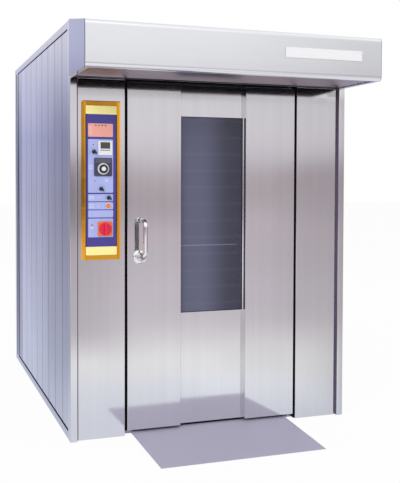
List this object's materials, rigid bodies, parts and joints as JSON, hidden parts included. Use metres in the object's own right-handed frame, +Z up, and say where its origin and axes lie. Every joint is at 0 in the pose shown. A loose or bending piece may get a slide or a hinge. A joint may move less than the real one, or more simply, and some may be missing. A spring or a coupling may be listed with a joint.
{
  "type": "rotating rack oven",
  "caption": "Stainless steel rack oven with a hinged glazed door, a projecting canopy, an entry ramp, a control column and a turning rack trolley inside.",
  "frame": {"origin": "on the floor, at the middle of the cabinet's footprint", "axes": "+Z up, the door faces -Y, +X to the right of someone who faces the door"},
  "size_m": [1.61, 2.7273, 2.385],
  "materials": {
    "stainless": "satin stainless sheet with near-mirror reflections",
    "lining": "plain stainless sheet inside the oven, slightly duller",
    "insulated_panel": null,
    "dark_steel": "dull grey steel",
    "cast_housing": "painted casting",
    "mineral_wool": "mineral wool slabs, out of sight",
    "motor_paint": "semi-gloss blue-grey motor paint",
    "chrome": "polished chrome",
    "gold_frame": "gold lacquered trim",
    "control_blue": "printed film on the control plate",
    "black_plastic": "moulded black plastic",
    "white_plastic": "moulded white plastic",
    "orange_plastic": "translucent orange cap",
    "amber_plastic": "moulded amber plastic",
    "red_plastic": "moulded red plastic",
    "silicone": "black silicone seal",
    "window_glass": "tinted heat-resistant glass",
    "castor_nylon": "heat-resistant black castor wheels"
  },
  "bodies": {
    "cabinet": {"base_plate": "dark_steel", "left_side_panel": "stainless", "right_side_panel": "stainless", "rear_panel": "stainless", "roof_panel": "stainless", "left_front_post": "stainless", "right_front_post": "stainless", "left_fascia": "stainless", "right_fascia": "stainless", "door_header": "stainless", "insulation_jacket": "mineral_wool", "door_jamb": "insulated_panel", "left_air_duct": "lining", "right_air_duct": "lining", "chamber_ceiling": "lining", "rear_baffle": "lining", "chamber_lamp": "white_plastic", "canopy_shell": "stainless", "canopy_filter": "dark_steel", "name_plate": "white_plastic", "entry_ramp": "stainless", "heater_bank": "dark_steel", "steam_generator": "dark_steel", "fan_motor": "motor_paint", "shaft_bearing": "cast_housing", "gear_motor": "motor_paint", "flue_collar": "stainless", "control_frame": "gold_frame", "control_plate": "control_blue", "display_unit": "white_plastic", "timer_controller": "black_plastic", "main_switch_plate": "amber_plastic", "lower_door_pivot": "dark_steel", "upper_door_pivot": "dark_steel", "latch_keeper": "dark_steel"},
    "door": {"door_face_plate": "stainless", "left_door_box": "stainless", "right_door_box": "stainless", "door_core": "insulated_panel", "outer_window_glass": "window_glass", "inner_window_glass": "window_glass", "door_gasket": "silicone", "handle_rosette": "chrome"},
    "handle": {"handle_lever": "chrome", "latch_cam": "dark_steel"},
    "rotor": {"drive_shaft": "lining", "rack_hanger": "lining", "rack_trolley": "lining"},
    "castor_front_left": {"front_left_castor": "castor_nylon"},
    "castor_front_right": {"front_right_castor": "castor_nylon"},
    "castor_rear_left": {"rear_left_castor": "castor_nylon"},
    "castor_rear_right": {"rear_right_castor": "castor_nylon"},
    "fan": {"circulation_fan": "dark_steel"},
    "temperature_dial": {"controller_dial": "white_plastic"},
    "cycle_knob": {"cycle_switch": "black_plastic"},
    "steam_knob": {"steam_switch": "black_plastic"},
    "lamp_knob": {"lamp_switch": "black_plastic"},
    "push_button": {"start_button": "orange_plastic"},
    "main_knob": {"main_switch_knob": "red_plastic"},
    "damper": {"flue_damper": "dark_steel"}
  },
  "joints": [
    {"name": "door_swing", "type": "hinge", "parent": "cabinet", "child": "door", "pos_m": [0.46, -1.064, 0], "axis": [0, 0, 1], "range_deg": [0, 105]},
    {"name": "handle_turn", "type": "hinge", "parent": "door", "child": "handle", "pos_m": [-0.422, -1.08, 0.96], "axis": [0, 1, 0], "range_deg": [0, 80]},
    {"name": "rotor_spin", "type": "hinge", "parent": "cabinet", "child": "rotor", "pos_m": [0, -0.31, 0], "axis": [0, 0, 1], "continuous": true},
    {"name": "front_left_castor_roll", "type": "hinge", "parent": "rotor", "child": "castor_front_left", "pos_m": [-0.3115, -0.64, 0.073], "axis": [1, 0, 0], "continuous": true},
    {"name": "front_right_castor_roll", "type": "hinge", "parent": "rotor", "child": "castor_front_right", "pos_m": [0.3115, -0.64, 0.073], "axis": [1, 0, 0], "continuous": true},
    {"name": "rear_left_castor_roll", "type": "hinge", "parent": "rotor", "child": "castor_rear_left", "pos_m": [-0.3115, 0.02, 0.073], "axis": [1, 0, 0], "continuous": true},
    {"name": "rear_right_castor_roll", "type": "hinge", "parent": "rotor", "child": "castor_rear_right", "pos_m": [0.3115, 0.02, 0.073], "axis": [1, 0, 0], "continuous": true},
    {"name": "fan_spin", "type": "hinge", "parent": "cabinet", "child": "fan", "pos_m": [0, 0.652, 0], "axis": [0, 0, 1], "continuous": true},
    {"name": "dial_turn", "type": "hinge", "parent": "cabinet", "child": "temperature_dial", "pos_m": [-0.6245, -1.098, 1.428], "axis": [0, 1, 0], "range_deg": [0, 270]},
    {"name": "cycle_switch_turn", "type": "hinge", "parent": "cabinet", "child": "cycle_knob", "pos_m": [-0.672, -1.09, 1.5175], "axis": [0, 1, 0], "range_deg": [0, 90]},
    {"name": "steam_switch_turn", "type": "hinge", "parent": "cabinet", "child": "steam_knob", "pos_m": [-0.634, -1.09, 1.3235], "axis": [0, 1, 0], "range_deg": [0, 90]},
    {"name": "lamp_switch_turn", "type": "hinge", "parent": "cabinet", "child": "lamp_knob", "pos_m": [-0.594, -1.09, 1.277], "axis": [0, 1, 0], "range_deg": [0, 90]},
    {"name": "start_button_press", "type": "slide", "parent": "cabinet", "child": "push_button", "axis": [0, 1, 0], "range_m": [0, 0.004], "stiffness_N_per_m": 300},
    {"name": "main_switch_turn", "type": "hinge", "parent": "cabinet", "child": "main_knob", "pos_m": [-0.6135, -1.096, 1.1135], "axis": [0, 1, 0], "range_deg": [0, 90]},
    {"name": "damper_turn", "type": "hinge", "parent": "cabinet", "child": "damper", "pos_m": [0.36, 0.7, 2.27], "axis": [-1, 0, 0], "range_deg": [0, 90]}
  ]
}
